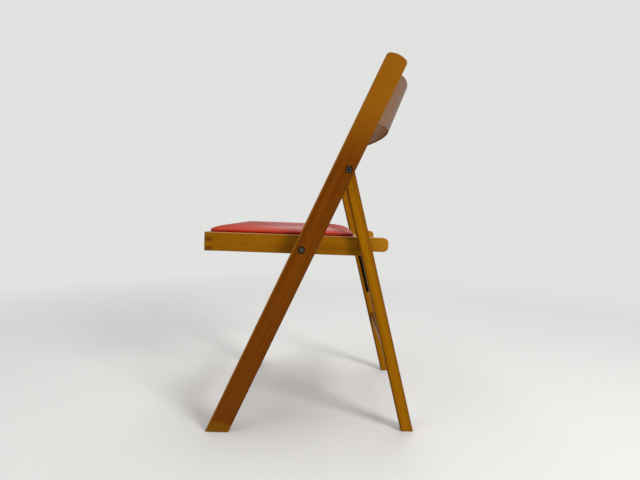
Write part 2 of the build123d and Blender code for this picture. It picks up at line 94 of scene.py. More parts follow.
class ShaderBoard:
    """A material's node tree with short calls for the nodes that the finishes share."""

    def __init__(self, name: str) -> None:
        """Start a material.

        Args:
            name: The material's name.
        """
        self.material = bpy.data.materials.new(name)
        self.material.use_nodes = True
        self.tree = self.material.node_tree
        self.shader = self.tree.nodes["Principled BSDF"]
        coordinates = self.add("ShaderNodeTexCoord")
        self.place: Socket = coordinates.outputs["Object"]
        self.normal: Socket = coordinates.outputs["Normal"]

    def add(self, kind: str, **settings: object) -> bpy.types.Node:
        """Add a node and set its properties.

        Args:
            kind: The node's type name.
            **settings: Properties of the node.

        Returns:
            The node.
        """
        node = self.tree.nodes.new(kind)
        for key, value in settings.items():
            setattr(node, key, value)
        return node

    def link(self, source: Socket, target: Socket) -> None:
        """Join an output to an input.

        Args:
            source: The output.
            target: The input.
        """
        self.tree.links.new(source, target)

    def feed(self, source: Socket, name: str) -> None:
        """Join an output to one of the shader's inputs.

        Args:
            source: The output.
            name: The input's name.
        """
        self.link(source, self.shader.inputs[name])

    def mapped(self, source: Socket, change: str, value: Triple) -> Socket:
        """Shift, turn or stretch a vector.

        Args:
            source: The vector.
            change: Location, Rotation or Scale.
            value: The shift, the angles or the scales.

        Returns:
            The new vector.
        """
        node = self.add("ShaderNodeMapping", vector_type="POINT")
        node.inputs[change].default_value = value
        self.link(source, node.inputs["Vector"])
        return node.outputs["Vector"]

    def parts(self, vector: Socket) -> dict[str, Socket]:
        """Take a vector apart.

        Args:
            vector: The vector.

        Returns:
            Its parts by axis: X, Y and Z.
        """
        node = self.add("ShaderNodeSeparateXYZ")
        self.link(vector, node.inputs["Vector"])
        return {axis: node.outputs[axis] for axis in "XYZ"}

    def noise(self, vector: Socket, scale: float, detail: float = 2.0, rough: float = 0.5) -> Socket:
        """Noise over a vector.

        Args:
            vector: Where it is read.
            scale: Its scale.
            detail: Its octaves.
            rough: How strong the finer octaves are.

        Returns:
            Its value, 0 to 1.
        """
        node = self.add("ShaderNodeTexNoise")
        node.inputs["Scale"].default_value = scale
        node.inputs["Detail"].default_value = detail
        node.inputs["Roughness"].default_value = rough
        self.link(vector, node.inputs["Vector"])
        return node.outputs["Fac"]

    def band(self, value: Socket, low: float, high: float, start: float = 0.0,
             end: float = 1.0) -> Socket:
        """Map a range of a value smoothly to another range.

        Args:
            value: The value.
            low: Where the range starts.
            high: Where it ends.
            start: Result at low.
            end: Result at high.

        Returns:
            The mapped value.
        """
        node = self.add("ShaderNodeMapRange", interpolation_type="SMOOTHSTEP", clamp=True)
        for key, number in (("From Min", low), ("From Max", high), ("To Min", start), ("To Max", end)):
            node.inputs[key].default_value = number
        self.link(value, node.inputs["Value"])
        return node.outputs["Result"]

    def math(self, operation: str, first: Socket, second: Socket | float = 0.0) -> Socket:
        """Arithmetic on one or two values.

        Args:
            operation: The Math node's operation.
            first: The first value.
            second: A second value, or a number.

        Returns:
            The result.
        """
        node = self.add("ShaderNodeMath", operation=operation)
        self.link(first, node.inputs[0])
        if isinstance(second, (int, float)):
            node.inputs[1].default_value = second
        else:
            self.link(second, node.inputs[1])
        return node.outputs[0]

    def distance(self, first: Socket, second: Socket) -> Socket:
        """Length of a vector with two parts.

        Args:
            first: One part.
            second: The other part.

        Returns:
            The length.
        """
        squares = [self.math("MULTIPLY", part, part) for part in (first, second)]
        return self.math("SQRT", self.math("ADD", *squares))

    def mix(self, share: Socket, first: Socket | Colour, second: Socket | Colour) -> Socket:
        """Mix two colours.

        Args:
            share: How much of the second.
            first: A colour or a colour output.
            second: A colour or a colour output.

        Returns:
            The mixed colour.
        """
        node = self.add("ShaderNodeMix", data_type="RGBA")
        self.link(share, node.inputs["Factor"])
        for socket, value in ((node.inputs[6], first), (node.inputs[7], second)):
            if isinstance(value, tuple):
                socket.default_value = (*value, 1.0)
            else:
                self.link(value, socket)
        return node.outputs[2]

    def bump(self, height: Socket, distance: float, strength: float) -> None:
        """Give the surface a relief.

        Args:
            height: The relief, 0 to 1.
            distance: Its depth in metres.
            strength: How much of it shows.
        """
        node = self.add("ShaderNodeBump")
        node.inputs["Strength"].default_value = strength
        node.inputs["Distance"].default_value = distance
        self.link(height, node.inputs["Height"])
        self.feed(node.outputs["Normal"], "Normal")

    def plain(self, **values: object) -> None:
        """Set constants on the shader's own sockets.

        Args:
            **values: The constants by socket name, with underscores for spaces.
        """
        for key, value in values.items():
            self.shader.inputs[key.replace("_", " ")].default_value = value


@dataclass(frozen=True)
class Hollow:
    """A round recess, or a groove with round ends, that is cut into both sides of the chair.

    Attributes:
        y: Place of a recess, or of the point that a groove runs down from.
        z: Height of that point.
        radius: Half the hollow's width.
        near_x: Where it starts, from the chair's middle.
        far_x: Where it ends.
        lean: Turn about X that stands a groove upright.
        start: Where a groove's upper end is, down from the point.
        end: Where its lower end is.
        fade: Length over which the mask fades at both depths.
        rim: How far past the radius the mask is full, and how far past it the mask has gone.
    """

    y: float
    z: float
    radius: float
    near_x: float
    far_x: float
    lean: float = 0.0
    start: float = 0.0
    end: float = 0.0
    fade: float = 0.5 * MM
    rim: Window = (0.1 * MM, 0.4 * MM)

    def mask(self, board: ShaderBoard) -> Socket:
        """Tell the hollow's walls and floor, where painted shade goes, from the rest of a piece.

        Args:
            board: The material's board.

        Returns:
            A value that is 1 in the hollow and 0 elsewhere.
        """
        shifted = board.mapped(board.place, "Location", (0.0, -self.y, -self.z))
        parts = board.parts(board.mapped(shifted, "Rotation", (self.lean, 0.0, 0.0)))
        nearest = board.math("MAXIMUM", parts["Z"], -self.end)
        nearest = board.math("MINIMUM", nearest, -self.start)
        along = board.math("SUBTRACT", parts["Z"], nearest)
        full, gone = self.rim
        inside = board.band(board.distance(parts["Y"], along), self.radius + gone, self.radius + full)
        depth = board.math("ABSOLUTE", parts["X"])
        deep = board.math("MULTIPLY", board.band(depth, self.near_x, self.near_x + self.fade),
                          board.band(depth, self.far_x + self.fade, self.far_x))
        return board.math("MULTIPLY", deep, inside)


@dataclass(frozen=True)
class WoodFinish:
    """Lacquered or raw beech with streaks, fibres, flecks and darker end grain, and painted light and
    shade on some of its ends, tops, rims and hollows.

    Scales are per metre, across and along the fibres. Windows are the values between which a pattern or
    a face's direction takes effect.
    """

    name: str
    light: Colour
    middle: Colour
    dark: Colour
    end: Colour
    pale: Colour
    streak_scale: Window = (95.0, 2.6)
    streak_window: Window = (0.32, 0.68)
    broad_scale: Window = (19.0, 1.3)
    broad_window: Window = (0.35, 0.65)
    broad_share: Window = (0.15, 0.75)
    fibre_scale: Window = (950.0, 14.0)
    fibre_window: Window = (0.3, 0.7)
    fibre_share: float = 0.4
    fleck_scale: Window = (520.0, 75.0)
    fleck_window: Window = (0.64, 0.74)
    fleck_share: float = 0.3
    pore_scale: Window = (420.0, 60.0)
    pore_window: Window = (0.3, 0.7)
    end_window: Window = (0.72, 0.93)
    relief: float = 0.12 * MM
    relief_share: float = 0.35
    gloss_window: Window = (0.3, 0.7)
    gloss_rough: float = 0.4
    gloss_spread: float = 0.12
    gloss: float = 0.22
    gloss_tint: Colour = (1.0, 0.62, 0.22)
    # Painted light: how much, along which axis and where the wood is painted lighter towards the rails'
    # tops and the seat rails' rear tails.
    painted_light_share: float = 0.0
    painted_light_axis: str = "Z"
    painted_light_window: Window = (0.54, 0.70)
    foot_soil: float = 0.0
    soil_and_contact_shade: Colour = srgb(122, 78, 2)
    soil_height: float = 12 * MM
    soil_ragged: float = 24 * MM
    soil_scale: float = 60.0
    # Painted light and shade on the rounded long edges: a painted highlight on the rails' front rims,
    # and painted shade on their rear rims and on the legs' rims.
    front_rim_painted_shading: Colour | None = None
    rear_rim_painted_shading: Colour | None = None
    edge_share: float = 0.65
    edge_window: Window = (0.02, 0.2)
    round_window: Window = (0.2, 0.4)
    # Painted light: a paler tone on the level tops that stands in for the light and reflection they
    # catch.
    painted_top_light: float = 0.0
    top_light_tone: Colour = srgb(224, 188, 138)
    top_light_window: Window = (0.5, 0.9)
    hollows: tuple[Hollow, ...] = ()
    # Painted shade: the dark tone that is painted into the recesses and grooves.
    hollow_painted_shade: Colour = srgb(50, 22, 2)

    def rims(self, board: ShaderBoard, facing: dict[str, Socket], colour: Socket) -> Socket:
        """Paint light and shade on the rounded long edges, one tone on the front rims and one on the
        rear rims.

        Args:
            board: The material's board.
            facing: The face's direction with the fibres on end.
            colour: The colour so far.

        Returns:
            The toned colour.
        """
        sideways = board.math("ABSOLUTE", facing["X"])
        rounded = board.band(sideways, *self.round_window, 0.0, self.edge_share)
        for rim, side in ((self.front_rim_painted_shading, -1.0), (self.rear_rim_painted_shading, 1.0)):
            if rim:
                share = board.band(facing["Y"], *(side * limit for limit in self.edge_window))
                colour = board.mix(board.math("MULTIPLY", share, rounded), colour, rim)
        return colour

    def soil_and_painted_shading(self, board: ShaderBoard, colour: Socket) -> Socket:
        """Add the dirt at the feet, and the painted light and shade: the lighter band towards one end,
        the paler level tops and the dark hollows.

        Args:
            board: The material's board.
            colour: The colour so far.

        Returns:
            The colour with dirt and painted light and shade.
        """
        parts = board.parts(board.place)
        # Painted light: the wood is mixed towards its pale tone along one axis.
        if self.painted_light_share:
            share = board.band(parts[self.painted_light_axis], *self.painted_light_window, 0.0, self.painted_light_share)
            colour = board.mix(share, colour, self.pale)
        if self.foot_soil:
            uneven = board.noise(board.place, self.soil_scale, 3.0)
            ragged = board.math("MULTIPLY", uneven, self.soil_ragged)
            height = board.math("SUBTRACT", parts["Z"], ragged)
            share = board.band(height, self.soil_height, 0.0, 0.0, self.foot_soil)
            colour = board.mix(share, colour, self.soil_and_contact_shade)
        # Painted light: level tops are mixed towards a paler tone.
        if self.painted_top_light:
            level = board.parts(board.normal)["Z"]
            share = board.band(level, *self.top_light_window, 0.0, self.painted_top_light)
            colour = board.mix(share, colour, self.top_light_tone)
        # Painted shade in the hollows.
        for hollow in self.hollows:
            colour = board.mix(hollow.mask(board), colour, self.hollow_painted_shade)
        return colour

    def material(self, grain: Grain) -> bpy.types.Material:
        """Build the material for one direction of the fibres.

        Args:
            grain: Which way the fibres run.

        Returns:
            The material.
        """
        board = ShaderBoard(f"{self.name}_{grain.name.lower()}")
        upright = board.mapped(board.place, "Rotation", grain.turn())
        facing = board.parts(board.mapped(board.normal, "Rotation", grain.turn()))

        def pattern(scale: Window, detail: float, rough: float = 0.5) -> Socket:
            """Noise that is drawn out along the fibres.

            Args:
                scale: Its scales across and along the fibres.
                detail: Its octaves.
                rough: How strong the finer octaves are.

            Returns:
                Its value, 0 to 1.
            """
            across, along = scale
            drawn_out = board.mapped(upright, "Scale", (across, across, along))
            return board.noise(drawn_out, 1.0, detail, rough)

        streak = pattern(self.streak_scale, 4.0, 0.6)
        broad = pattern(self.broad_scale, 2.0)
        fibre = pattern(self.fibre_scale, 3.0, 0.65)
        fleck = pattern(self.fleck_scale, 0.0)
        pores = pattern(self.pore_scale, 3.0, 0.7)
        colour = board.mix(board.band(streak, *self.streak_window), self.dark, self.light)
        for share, tone in (
                (board.band(broad, *self.broad_window, *self.broad_share), self.middle),
                (board.band(fibre, *self.fibre_window, 0.0, self.fibre_share), self.dark),
                (board.band(fleck, *self.fleck_window, 0.0, self.fleck_share), self.end)):
            colour = board.mix(share, colour, tone)
        end_grain = board.mix(board.band(pores, *self.pore_window), self.end, self.dark)
        cut = board.band(board.math("ABSOLUTE", facing["Z"]), *self.end_window)
        colour = self.rims(board, facing, board.mix(cut, colour, end_grain))
        board.feed(self.soil_and_painted_shading(board, colour), "Base Color")
        dullest = self.gloss_rough + self.gloss_spread
        board.feed(board.band(streak, *self.gloss_window, self.gloss_rough, dullest), "Roughness")
        board.plain(Specular_IOR_Level=self.gloss, Specular_Tint=(*self.gloss_tint, 1.0))
        board.bump(fibre, self.relief, self.relief_share)
        return board.material


@dataclass(frozen=True)
class PlyFinish:
    """Bent plywood with a polished face veneer and its layers showing on the long edges.

    Attributes:
        lean: Turn about X that stands the axis of the bend upright.
        axis_y: Place of that axis.
        axis_z: Height at which it is placed.
        layer: Thickness of one layer.
        figure_scale: Scales of the veneer's figure, around the bend and up.
        layer_window: Where one layer turns into the next, in shares of a layer.
        polish: What the shader's sockets have on the polished faces and on the bare edges.
    """

    name: str
    light: Colour
    dark: Colour
    edge_pale: Colour
    edge_dark: Colour
    lean: float
    axis_y: float
    axis_z: float
    layer: float
    figure_scale: Window = (1.3, 75.0)
    figure_window: Window = (0.25, 0.75)
    fine_scale: Triple = (6.0, 9.0, 1.0)
    fine_window: Window = (0.35, 0.75)
    fine_share: float = 0.2
    layer_window: Window = (0.35, 0.65)
    edge_window: Window = (0.25, 0.6)
    bare_window: Window = (0.1, 0.4)
    polish: tuple[tuple[str, float, float], ...] = (
        ("Roughness", 0.28, 0.8), ("Coat Weight", 0.35, 0.0), ("Specular IOR Level", 0.4, 0.1))
    coat_rough: float = 0.14

    def material(self) -> bpy.types.Material:
        """Build the material.

        Returns:
            The material.
        """
        board = ShaderBoard(self.name)
        upright = (self.lean, 0.0, 0.0)
        shifted = board.mapped(board.place, "Location", (0.0, -self.axis_y, -self.axis_z))
        parts = board.parts(board.mapped(shifted, "Rotation", upright))
        facing = board.parts(board.mapped(board.normal, "Rotation", upright))
        sheet = board.add("ShaderNodeCombineXYZ")
        around = board.math("ARCTAN2", parts["X"], parts["Y"])
        for axis, value, scale in zip("XY", (around, parts["Z"]), self.figure_scale):
            board.link(board.math("MULTIPLY", value, scale), sheet.inputs[axis])
        veneer = sheet.outputs["Vector"]
        figure = board.noise(veneer, 1.0, 5.0, 0.62)
        fine = board.noise(board.mapped(veneer, "Scale", self.fine_scale), 1.0, 2.0, 0.6)
        colour = board.mix(board.band(figure, *self.figure_window), self.dark, self.light)
        colour = board.mix(board.band(fine, *self.fine_window, 0.0, self.fine_share), colour, self.dark)
        ply = board.math("PINGPONG", board.distance(parts["X"], parts["Y"]), self.layer)
        layers = board.band(ply, *(share * self.layer for share in self.layer_window))
        edge = board.mix(layers, self.edge_dark, self.edge_pale)
        across = board.math("ABSOLUTE", facing["Z"])
        board.feed(board.mix(board.band(across, *self.edge_window), colour, edge), "Base Color")
        for socket, polished, bare in self.polish:
            board.feed(board.band(across, *self.bare_window, polished, bare), socket)
        board.plain(Coat_Roughness=self.coat_rough)
        return board.material


@dataclass(frozen=True)
class VinylFinish:
    """Glossy coated cloth with a fine pressed grain, with painted shade along the line where it meets
    the wood.
    """

    name: str
    bright: Colour
    deep: Colour
    # Painted shade: the darker tone along the line where the cover meets the wood.
    soil_and_contact_shade: Colour
    cloud_scale: float = 16.0
    cloud_window: Window = (0.35, 0.65)
    grain_scale: float = 850.0
    crease_scale: float = 260.0
    crease_share: float = 0.5
    crease_window: Window = (0.3, 0.7)
    rough: Window = (0.3, 0.42)
    gloss: float = 0.26
    gloss_tint: Colour = (1.0, 0.72, 0.66)
    relief: float = 0.04 * MM
    relief_share: float = 0.12

    def material(self) -> bpy.types.Material:
        """Build the material.

        Returns:
            The material.
        """
        board = ShaderBoard(self.name)
        cloud = board.noise(board.place, self.cloud_scale, 3.0)
        colour = board.mix(board.band(cloud, *self.cloud_window), self.deep, self.bright)
        # Painted shade: the cover is darker along the line where it meets the wood.
        tone = board.add("ShaderNodeAttribute", attribute_name="painted_base_shade", attribute_type="GEOMETRY")
        board.feed(board.mix(tone.outputs["Fac"], colour, self.soil_and_contact_shade), "Base Color")
        cells = board.add("ShaderNodeTexVoronoi", feature="SMOOTH_F1")
        cells.inputs["Scale"].default_value = self.grain_scale
        board.link(board.place, cells.inputs["Vector"])
        creases = board.noise(board.place, self.crease_scale, 3.0, 0.6)
        board.feed(board.band(creases, *self.crease_window, *self.rough), "Roughness")
        board.plain(Specular_IOR_Level=self.gloss, Specular_Tint=(*self.gloss_tint, 1.0))
        folds = board.math("MULTIPLY", creases, self.crease_share)
        board.bump(board.math("ADD", cells.outputs["Distance"], folds), self.relief, self.relief_share)
        return board.material


@dataclass(frozen=True)
class MetalFinish:
    """Plated or blackened steel with turning marks, a little tarnish and painted shade in its hollows.
    """

    name: str
    bright: Colour
    dull: Colour
    metallic: float
    rough: float
    hollows: tuple[Hollow, ...] = ()
    # Painted shade: the dark tone that is painted into the screw's socket.
    hollow_painted_shade: Colour = srgb(6, 5, 4)
    tarnish_scale: float = 420.0
    tarnish_window: Window = (0.35, 0.7)
    rough_window: Window = (0.3, 0.7)
    rough_spread: float = 0.18
    mark_scale: Triple = (300.0, 2600.0, 2600.0)
    relief: float = 0.05 * MM
    relief_share: float = 0.25

    def material(self) -> bpy.types.Material:
        """Build the material.

        Returns:
            The material.
        """
        board = ShaderBoard(self.name)
        tarnish = board.noise(board.place, self.tarnish_scale, 4.0, 0.6)
        colour = board.mix(board.band(tarnish, *self.tarnish_window), self.bright, self.dull)
        # Painted shade in the hollows.
        for hollow in self.hollows:
            colour = board.mix(hollow.mask(board), colour, self.hollow_painted_shade)
        board.feed(colour, "Base Color")
        dullest = self.rough + self.rough_spread
        board.feed(board.band(tarnish, *self.rough_window, self.rough, dullest), "Roughness")
        board.plain(Metallic=self.metallic)
        marks = board.noise(board.mapped(board.place, "Scale", self.mark_scale), 1.0, 2.0)
        board.bump(marks, self.relief, self.relief_share)
        return board.material


UPPER_PIVOT = (78.68 * MM, 548.62 * MM)
SEAT_PIVOT = (-14.82 * MM, 384.79 * MM)
# Hollows that get painted shade: the pivots' recesses, the screw's socket and the legs' grooves.
PIVOT_RECESSES = tuple(Hollow(*pivot, radius=7.5 * MM, near_x=200 * MM, far_x=223 * MM)
                       for pivot in (UPPER_PIVOT, SEAT_PIVOT))
SCREW_SOCKET = Hollow(*UPPER_PIVOT, radius=2.6 * MM, near_x=210 * MM, far_x=223 * MM)
LEG_GROOVE = Hollow(*UPPER_PIVOT, radius=4.4 * MM, near_x=178 * MM, far_x=187 * MM,
                    lean=math.radians(LEG_LEAN), start=157.9 * MM, end=322.7 * MM)
# The rails are painted lighter towards their tops, which is painted light.
RAIL_WOOD = WoodFinish(
    "rail_beech", light=srgb(122, 63, 0), middle=srgb(106, 51, 0), dark=srgb(90, 41, 0),
    end=srgb(66, 30, 0), pale=srgb(141, 86, 4), painted_light_share=0.8, foot_soil=0.7,
    # Painted highlight on the rails' front rims and painted shade on their rear rims.
    front_rim_painted_shading=srgb(156, 98, 14), rear_rim_painted_shading=srgb(70, 32, 0), hollows=PIVOT_RECESSES)
LEG_WOOD = WoodFinish(
    "leg_beech", light=srgb(162, 106, 4), middle=srgb(144, 91, 0), dark=srgb(126, 75, 0),
    end=srgb(88, 48, 2), pale=srgb(166, 112, 16), gloss=0.12,
    # Painted shade on both rims of the legs.
    front_rim_painted_shading=srgb(88, 48, 2), rear_rim_painted_shading=srgb(94, 52, 2), hollows=(LEG_GROOVE,))
# The seat wood is painted lighter towards the rear tails behind the legs, which is painted light.
SEAT_WOOD = WoodFinish(
    "seat_beech", light=srgb(156, 101, 4), middle=srgb(137, 85, 0), dark=srgb(116, 68, 0),
    end=srgb(94, 53, 2), pale=srgb(164, 112, 20), painted_light_share=0.7, painted_light_axis="Y", painted_light_window=(0.09, 0.14),
    # Painted light on the seat frame's level tops.
    painted_top_light=0.5)
RAW_WOOD = WoodFinish(
    "raw_board", light=srgb(206, 172, 124), middle=srgb(192, 156, 108), dark=srgb(168, 128, 82),
    end=srgb(130, 92, 54), pale=srgb(206, 172, 124), gloss_rough=0.62, gloss=0.15,
    gloss_tint=(1.0, 1.0, 1.0))
PLATED_STEEL = MetalFinish(
    "plated_steel", srgb(176, 166, 148), srgb(128, 116, 98), metallic=0.9, rough=0.34)
AGED_STEEL = MetalFinish(
    "aged_steel", srgb(98, 84, 54), srgb(70, 58, 34), metallic=0.8, rough=0.42)
BLACK_STEEL = MetalFinish(
    "black_steel", srgb(84, 78, 72), srgb(54, 48, 44), metallic=0.6, rough=0.36)
SCREW_STEEL = MetalFinish(
    "screw_steel", srgb(96, 92, 86), srgb(62, 58, 54), metallic=0.6, rough=0.36, hollows=(SCREW_SOCKET,))
# The cover's darker base line is painted shade.
RED_VINYL = VinylFinish(
    "red_vinyl", bright=srgb(174, 46, 20), deep=srgb(168, 42, 18), soil_and_contact_shade=srgb(140, 22, 6))


def dress(names: list[str], material: bpy.types.Material) -> None:
    """Give CAD nodes a material.

    Args:
        names: The nodes.
        material: The material.
    """
    for name in names:
        mesh = frame["nodes"][name].data
        mesh.materials.clear()
        mesh.materials.append(material)
        log.info("dressed %s with %s", name, material.name)


def select_only(piece: bpy.types.Object) -> None:
    """Make one object the only selected and the active one.

    Args:
        piece: The object.
    """
    bpy.ops.object.select_all(action="DESELECT")
    piece.select_set(True)
    bpy.context.view_layer.objects.active = piece


def pick(piece: bpy.types.Object, kind: str, wanted: Callable[[object], bool]) -> None:
    """Select some edges or faces of the object in edit mode, and nothing else.

    Args:
        piece: The object.
        kind: EDGE or FACE.
        wanted: Says of an edge or face whether it is selected.
    """
    bpy.ops.mesh.select_mode(type=kind)
    bpy.ops.mesh.select_all(action="DESELECT")
    shape = bmesh.from_edit_mesh(piece.data)
    for part in (shape.edges if kind == "EDGE" else shape.faces):
        if wanted(part):
            part.select_set(True)
    bmesh.update_edit_mesh(piece.data)


def read_points(mesh: bpy.types.Mesh, what: str = "co") -> np.ndarray:
    """Read a mesh's points or their normals.

    Args:
        mesh: The mesh.
        what: The name of what is read: co or normal.

    Returns:
        An array with one row for each point.
    """
    flat = np.zeros(len(mesh.vertices) * 3)
    mesh.vertices.foreach_get(what, flat)
    return flat.reshape(-1, 3)


def put_points(mesh: bpy.types.Mesh, points: np.ndarray) -> None:
    """Write an array's rows back as a mesh's points.

    Args:
        mesh: The mesh.
        points: One row for each point.
    """
    mesh.vertices.foreach_set("co", points.ravel())
    mesh.update()


def group_points(piece: bpy.types.Object, name: str, chosen: np.ndarray) -> None:
    """Put some points of an object in a new vertex group.

    Args:
        piece: The object.
        name: The group's name.
        chosen: True for each point that belongs to it.
    """
    group = piece.vertex_groups.new(name=name)
    group.add([int(index) for index in np.nonzero(chosen)[0]], 1.0, "REPLACE")


@dataclass
class MainFrame:
    """The two long rails with the backrest panel, the front stretcher and the pivots' hardware."""

    panel_lean: float = math.radians(21.6)
    panel_ends_y: float = 140.0 * MM
    panel_ends_z: float = 699.3 * MM
    panel_sag: float = 50.7 * MM
    panel_half_span: float = 201 * MM
    ply_layer: float = 1.3 * MM
    wood: WoodFinish = RAIL_WOOD

    def panel_finish(self) -> PlyFinish:
        """The panel's finish, with the axis of its bend found from its span and sag.

        Returns:
            The finish.
        """
        bend = (self.panel_half_span ** 2 + self.panel_sag ** 2) / (2 * self.panel_sag)
        axis_y = self.panel_ends_y - (bend - self.panel_sag) * math.cos(self.panel_lean)
        axis_z = self.panel_ends_z + (bend - self.panel_sag) * math.sin(self.panel_lean)
        return PlyFinish("backrest_ply", light=srgb(138, 93, 55), dark=srgb(118, 76, 40),
                         edge_pale=srgb(148, 100, 58), edge_dark=srgb(104, 62, 30), lean=self.panel_lean,
                         axis_y=axis_y, axis_z=axis_z, layer=self.ply_layer)

    def build(self) -> None:
        """Dress the frame's pieces."""
        dress(["left_main_rail", "right_main_rail"], self.wood.material(Grain.MAIN_RAIL))
        dress(["front_stretcher"], self.wood.material(Grain.ACROSS))
        dress(["backrest_panel"], self.panel_finish().material())
        dress(["upper_pivot_screws"], SCREW_STEEL.material())
        dress(["seat_pivot_nuts", "seat_pivot_washers"], BLACK_STEEL.material())
        dress(["seat_pivot_bolts"], AGED_STEEL.material())
        dress(["upper_pivot_sleeve_nuts", "upper_pivot_washers", "seat_pivot_spacers"],
              PLATED_STEEL.material())


@dataclass
class RearLegFrame:
    """The two rear legs and the stretcher between them."""

    wood: WoodFinish = LEG_WOOD

    def build(self) -> None:
        """Dress the legs and the stretcher."""
        dress(["left_rear_leg", "right_rear_leg"], self.wood.material(Grain.REAR_LEG))
        dress(["rear_stretcher"], self.wood.material(Grain.ACROSS))


@dataclass
class SeatFrame:
    """The seat's wooden frame, what holds the pad to it, and the pins in its tails."""

    wood: WoodFinish = SEAT_WOOD

    def build(self) -> None:
        """Dress the frame."""
        dress(["left_seat_rail", "right_seat_rail"], self.wood.material(Grain.SEAT_SIDE))
        across = self.wood.material(Grain.ACROSS)
        dress(["seat_front_rail", "seat_rear_rail", "seat_rear_dowels", "seat_corner_blocks"], across)
        dress(["seat_board"], RAW_WOOD.material(Grain.ACROSS))
        dress(["seat_board_screws", "cover_staples", "slide_pins"], PLATED_STEEL.material())


@dataclass
class SeatPad:
    """The crowned pad in red coated cloth, and the margin that is turned in under its board.

    Attributes:
        pivot: Where the seat turns on the main frame.
        middle_reach: Place of the pad's middle, back from the pivot.
        roll_reach: How far in the rounded edge ends.
        crown_reach: How far in the crown is reached.
        start_share: Height of the form before it swells, as a share of the finished height.
        swell_cap: How far a point may swell.
        held_height: Height up to which the cloth is held.
        top_share: Where the evened top starts, as a share of the rounded edge's height.
        gather_waves: Waves of the gathers for each turn of a corner.
        gather_width: Share of the corner's radius over which the gathers fade in.
        gather_rise: Share of the crown's height at which they have gone.
        base_shade: Height of the painted shade along the wood.
        wave_depth: How far the margin's cut edge strays.
    """

    pivot: Vector
    slope: float = math.radians(1.1)
    top_above_pivot: float = 28 * MM
    middle_reach: float = -47.25 * MM
    width: float = 335.7 * MM
    length: float = 310.5 * MM
    corner_round: float = 16 * MM
    corner_segments: int = 8
    crown: float = 17.5 * MM
    side_height: float = 4 * MM
    roll_reach: float = 7.5 * MM
    roll_height: float = 12 * MM
    roll_steps: int = 5
    crown_reach: float = 36 * MM
    crown_steps: int = 6
    start_share: float = 0.92
    side_start_inset: float = 0.8 * MM
    base_gap: float = 1.3 * MM
    voxel: float = 5 * MM
    pressure: float = 4.0
    held_height: float = 1.5 * MM
    swell_cap: float = 2.5 * MM
    frames: int = 16
    top_share: float = 0.8
    even_factor: float = 0.5
    even_rounds: int = 14
    gather_depth: float = 0.7 * MM
    gather_waves: int = 22
    gather_width: float = 0.3
    gather_rise: float = 0.75
    base_shade: float = 2.6 * MM
    smooth_angle: float = math.radians(50)
    margin: float = 28 * MM
    margin_thickness: float = 1.1 * MM
    margin_base: float = 0.1 * MM
    margin_cuts: int = 5
    wave_depth: float = 0.8 * MM
    wave_scale: Window = (140.0, 117.0)
    wave_shift: float = 1.3
    vinyl: VinylFinish = RED_VINYL
    finish: bpy.types.Material = field(init=False)

    def __post_init__(self) -> None:
        """Make the finish once."""
        self.finish = self.vinyl.material()

    def seat_place(self) -> Matrix:
        """Place of the pad's own frame: its middle, on the seat frame's top.

        Returns:
            The place as a matrix.
        """
        return (Matrix.Translation(self.pivot) @ Matrix.Rotation(-self.slope, 4, "X")
                @ Matrix.Translation((0.0, self.middle_reach, self.top_above_pivot)))

    def blank(self, name: str, inset: float, height: float) -> bpy.types.Object:
        """Board with rounded corners, its underside at the base gap.

        Args:
            name: The new object's name.
            inset: How far it is drawn in from the pad's outline.
            height: Its height.

        Returns:
            The board, in the pad's own frame.
        """
        bpy.ops.object.select_all(action="DESELECT")
        bpy.ops.mesh.primitive_cube_add(size=1.0, location=(0.0, 0.0, 0.0))
        piece = bpy.context.object
        piece.name = piece.data.name = name
        bpy.ops.object.mode_set(mode="EDIT")
        bpy.ops.mesh.select_all(action="SELECT")
        bpy.ops.transform.resize(value=(self.width - 2 * inset, self.length - 2 * inset, height))
        bpy.ops.transform.translate(value=(0.0, 0.0, self.base_gap + height / 2))
        pick(piece, "EDGE", lambda edge: abs(edge.verts[0].co.z - edge.verts[1].co.z) > height / 2)
        bpy.ops.mesh.bevel(offset=self.corner_round - inset, segments=self.corner_segments,
                           affect="EDGES")
        bpy.ops.object.mode_set(mode="OBJECT")
        return piece

    def profile(self) -> list[tuple[float, float]]:
        """Steps of the pad's rounded edge and crown, as drawn-in distance and height.

        Returns:
            The steps from the side's top to the crown.
        """
        steps = []
        for index in range(1, self.roll_steps + 1):
            turn = math.radians(90 * index / self.roll_steps)
            lift = (self.roll_height - self.side_height) * math.sin(turn)
            steps.append((self.roll_reach * (1 - math.cos(turn)), self.side_height + lift))
        for index in range(1, self.crown_steps + 1):
            share = index / self.crown_steps
            lift = (self.crown - self.roll_height) * (1 - (1 - share) ** 2)
            steps.append((self.roll_reach + (self.crown_reach - self.roll_reach) * share,
                          self.roll_height + lift))
        return steps

    def crowned(self) -> bpy.types.Object:
        """Closed start form of the pad: the board drawn up and in towards its crown in steps.

        Returns:
            The form, in the pad's own frame.
        """
        piece = self.blank("seat_pad", self.side_start_inset, self.side_height * self.start_share)
        bpy.ops.object.mode_set(mode="EDIT")
        pick(piece, "FACE", lambda face: face.normal.z > LEVEL)
        half = Vector((self.width / 2 - self.side_start_inset, self.length / 2 - self.side_start_inset))
        drawn_in, height = 0.0, self.side_height
        for reach, level in self.profile():
            lift = (level - height) * self.start_share
            bpy.ops.mesh.extrude_region_move(TRANSFORM_OT_translate={"value": (0.0, 0.0, lift)})
            shares = [(size - reach) / (size - drawn_in) for size in half]
            bpy.ops.transform.resize(value=(*shares, 1.0), center_override=(0.0, 0.0, 0.0))
            drawn_in, height = reach, level
        bpy.ops.object.mode_set(mode="OBJECT")
        return piece

